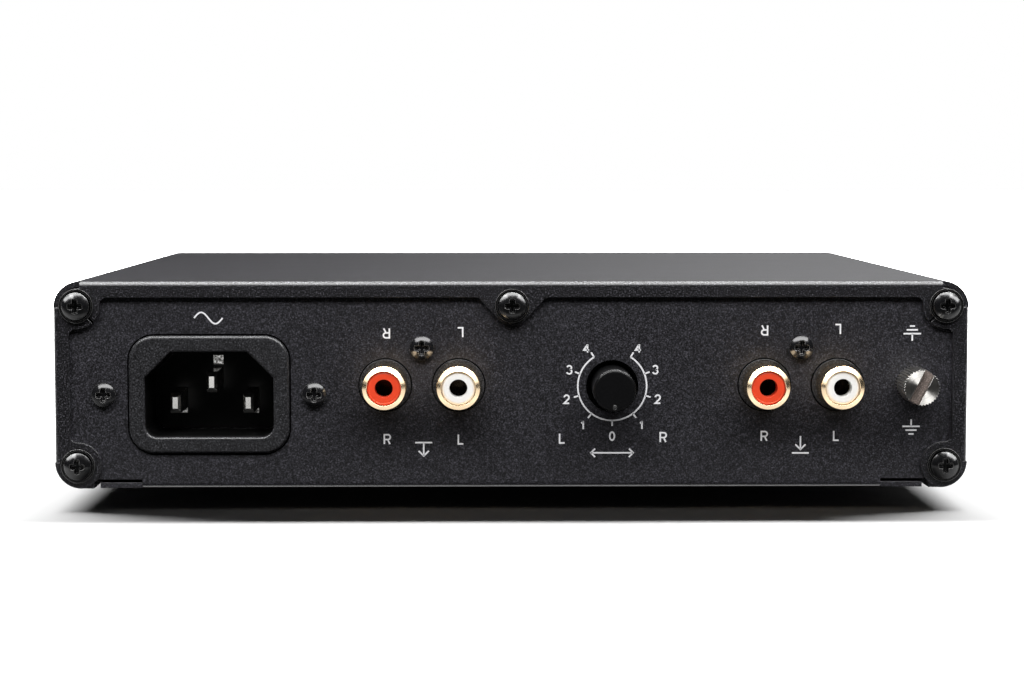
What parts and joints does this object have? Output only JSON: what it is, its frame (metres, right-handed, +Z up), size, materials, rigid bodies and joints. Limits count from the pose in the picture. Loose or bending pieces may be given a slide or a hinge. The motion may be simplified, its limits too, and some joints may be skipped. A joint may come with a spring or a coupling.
{
  "type": "phono preamplifier",
  "caption": "Low metal-cased phono preamplifier with a mains inlet, phono sockets, a balance knob and a ground thumbscrew at the rear and a power button at the front.",
  "frame": {"origin": "on the ground under the middle of the bounding box", "axes": "+X to the right as seen from the rear, +Y towards the front panel, +Z up"},
  "size_m": [0.174, 0.1586, 0.0435],
  "materials": {
    "cover_paint": "satin dark grey powder coat",
    "panel_paint": "fine textured near-black powder coat",
    "front_finish": "dark grey anodised, satin",
    "black_screw": "black oxide, glossy",
    "plain_steel": "zinc plated",
    "black_moulding": "black, fine texture",
    "knob_black": "black, smooth satin",
    "button_finish": "satin",
    "gold_plate": "gold plated, polished",
    "nickel_plate": "nickel plated, turned",
    "red_plastic": "glossy red",
    "white_plastic": "glossy white",
    "clear_plastic": "clear light pipe",
    "foot_rubber": "black rubber",
    "board_laminate": "green solder mask",
    "component_black": "moulded component bodies",
    "film_yellow": "red film capacitor boxes",
    "ferrite": "dark ferrite",
    "winding_tape": "yellow winding tape",
    "wire_insulation": "wire insulation",
    "heatsink_metal": "black anodised",
    "fuse_glass": "clear glass with metal clips"
  },
  "bodies": {
    "case": {"amplifier_chips": "component_black", "balance_pot_case": "component_black", "balance_pot_cover": "component_black", "board_links": "black_moulding", "board_screws": "plain_steel", "board_standoffs": "plain_steel", "bulk_capacitor": "component_black", "chassis": "panel_paint", "cover_screw_washers": "black_screw", "cover_screws": "black_screw", "film_capacitors": "film_yellow", "foot_front_left": "foot_rubber", "foot_front_right": "foot_rubber", "foot_rear_left": "foot_rubber", "foot_rear_right": "foot_rubber", "foot_screws": "plain_steel", "front_board": "board_laminate", "front_board_screws": "plain_steel", "front_panel": "front_finish", "front_panel_screws": "plain_steel", "ground_lead": "wire_insulation", "ground_nut": "plain_steel", "ground_tag": "plain_steel", "inlet_body": "black_moulding", "inlet_nuts": "plain_steel", "inlet_pin_earth": "nickel_plate", "inlet_pin_line": "nickel_plate", "inlet_pin_neutral": "nickel_plate", "inlet_screws": "black_screw", "input_contact_left": "gold_plate", "input_contact_right": "gold_plate", "input_insulator_left": "white_plastic", "input_insulator_right": "red_plastic", "input_shell_left": "gold_plate", "input_shell_right": "gold_plate", "input_socket_body": "black_moulding", "light_pipe": "clear_plastic", "main_board": "board_laminate", "mains_fuse": "fuse_glass", "mains_leads": "wire_insulation", "output_contact_left": "gold_plate", "output_contact_right": "gold_plate", "output_insulator_left": "white_plastic", "output_insulator_right": "red_plastic", "output_shell_left": "gold_plate", "output_shell_right": "gold_plate", "output_socket_body": "black_moulding", "power_supply_board": "board_laminate", "power_switch_body": "component_black", "socket_screws": "black_screw", "supply_heatsink": "heatsink_metal", "top_cover": "cover_paint", "transformer_core": "ferrite", "transformer_winding": "winding_tape"},
    "balance_spindle": {"balance_knob": "knob_black", "balance_pot_shaft": "plain_steel"},
    "power_push": {"power_button": "button_finish", "power_switch_plunger": "white_plastic"},
    "terminal_clip": {"ground_clip": "plain_steel"},
    "terminal_screw": {"ground_thumbscrew": "nickel_plate"}
  },
  "joints": [
    {"name": "balance_turn", "type": "hinge", "parent": "case", "child": "balance_spindle", "pos_m": [0.0191, -0.06975, 0.0234], "axis": [0, 1, 0], "range_deg": [-150, 150]},
    {"name": "ground_terminal_out", "type": "slide", "parent": "case", "child": "terminal_clip", "axis": [0, -1, 0], "range_m": [0, 0.0028]},
    {"name": "ground_terminal_turn", "type": "hinge", "parent": "terminal_clip", "child": "terminal_screw", "pos_m": [0.0767, -0.06975, 0.02385], "axis": [0, -1, 0], "range_deg": [0, 1440]},
    {"name": "power_button_press", "type": "slide", "parent": "case", "child": "power_push", "axis": [0, -1, 0], "range_m": [0, 0.0012], "stiffness_N_per_m": 600, "springref_m": -0.001}
  ],
  "couplings": [
    {"joint": "ground_terminal_turn", "follows": "ground_terminal_out", "rad_per_m": 8975.9}
  ]
}
